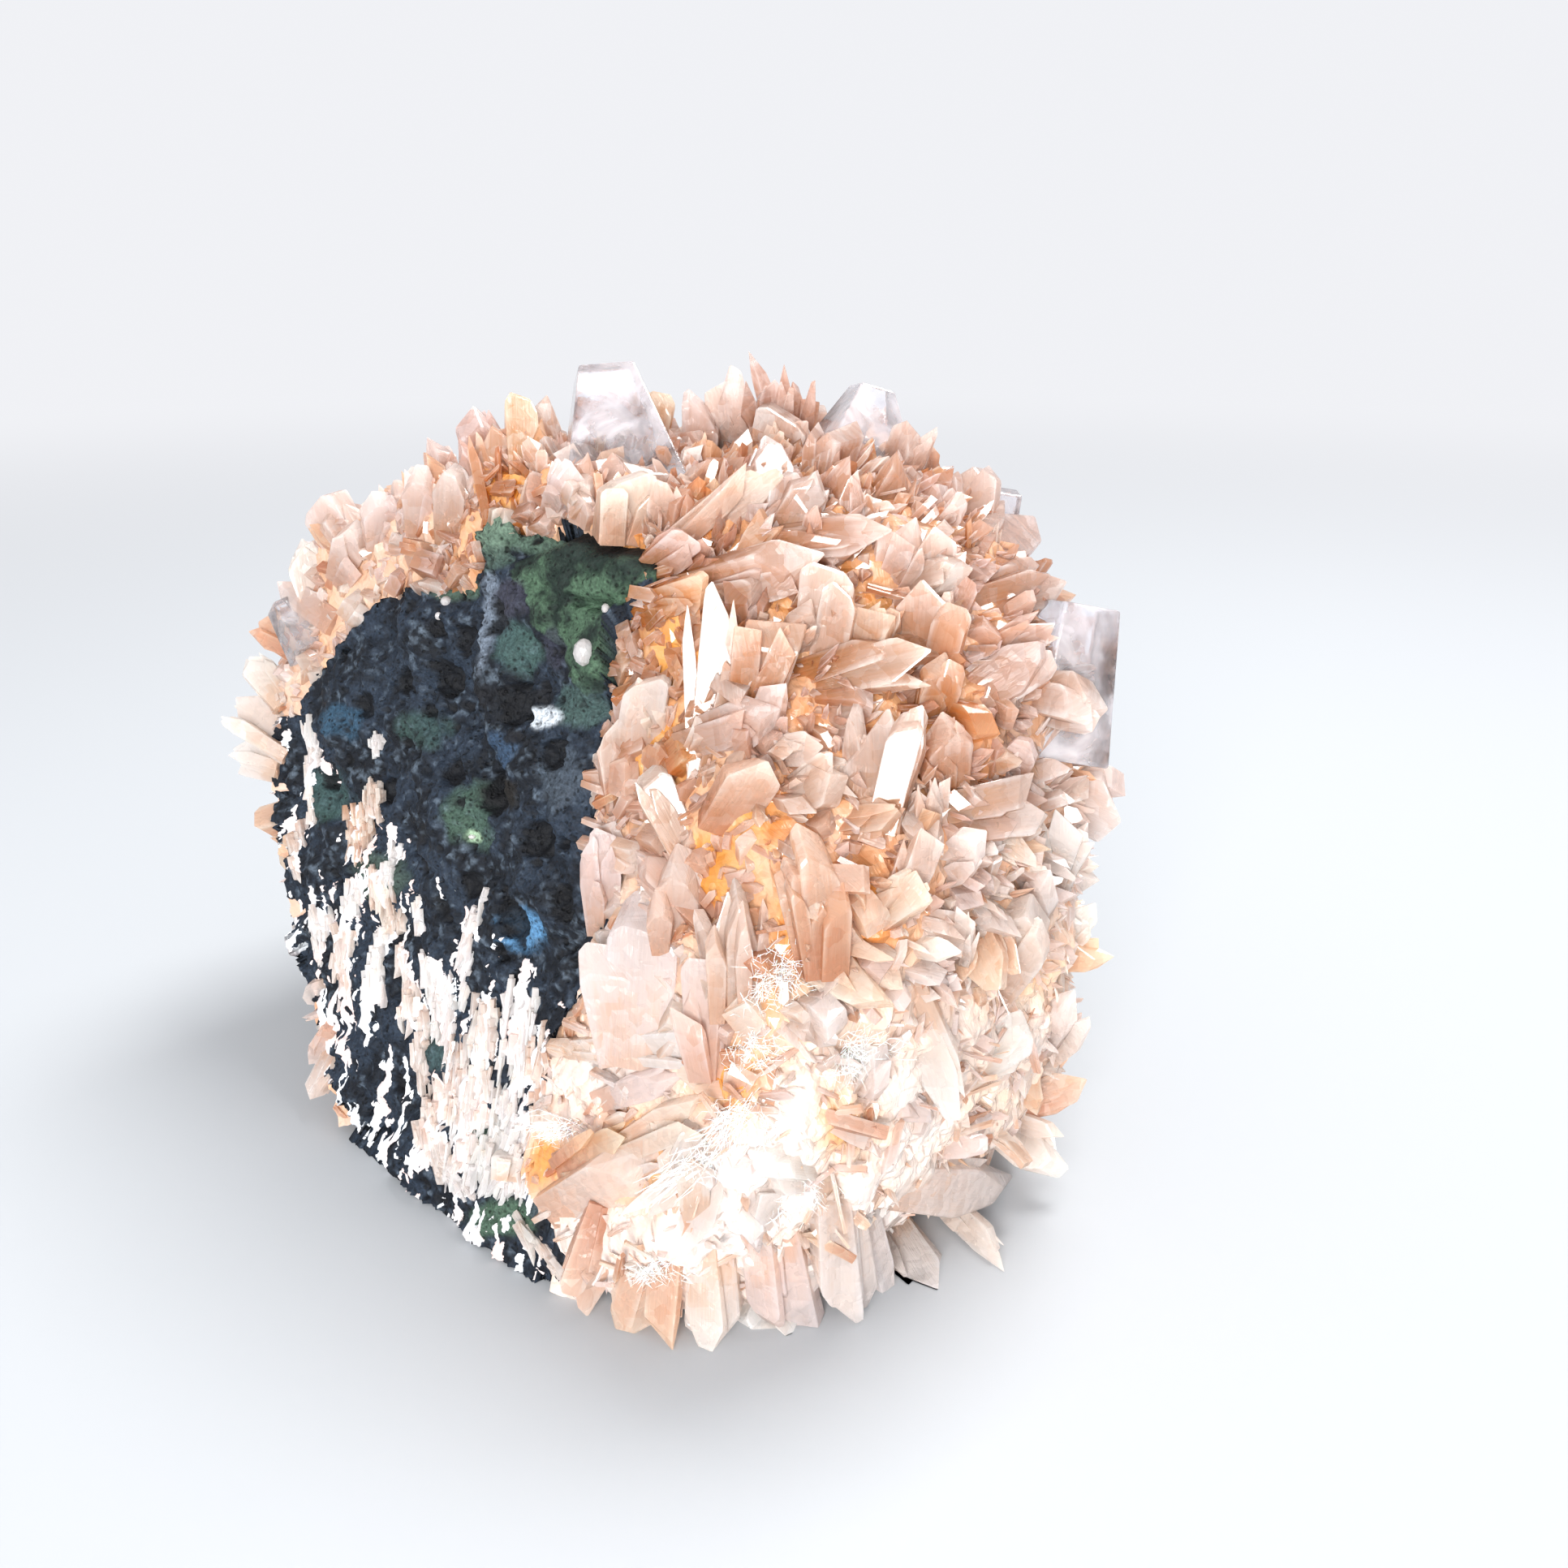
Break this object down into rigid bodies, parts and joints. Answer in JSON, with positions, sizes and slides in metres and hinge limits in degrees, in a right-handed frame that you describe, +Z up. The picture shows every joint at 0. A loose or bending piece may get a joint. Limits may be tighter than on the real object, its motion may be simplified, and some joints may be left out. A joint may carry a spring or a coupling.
{
  "type": "zeolite specimen",
  "caption": "Hand specimen of peach zeolite blades crusted over dark vesicular basalt, with clear pyramidal crystals on top and a broken rock face at the front left.",
  "frame": {"origin": "on the floor, under the middle of the specimen's bounding box", "axes": "+Z up; the picture looks along +Y, with +X to its right. The broken basalt face looks towards -X and -Y"},
  "size_m": [0.069, 0.0677, 0.0571],
  "materials": {
    "basalt": "rough, vesicular, dark blue-grey with green celadonite",
    "stilbite": "translucent, pearly to glassy",
    "apophyllite": "clear, glassy"
  },
  "bodies": {
    "root": {"basalt_matrix": "basalt", "stilbite_crust": "stilbite", "apophyllite_top": "apophyllite", "apophyllite_back": "apophyllite", "apophyllite_right": "apophyllite", "apophyllite_shoulder": "apophyllite", "apophyllite_left": "apophyllite"}
  },
  "joints": []
}
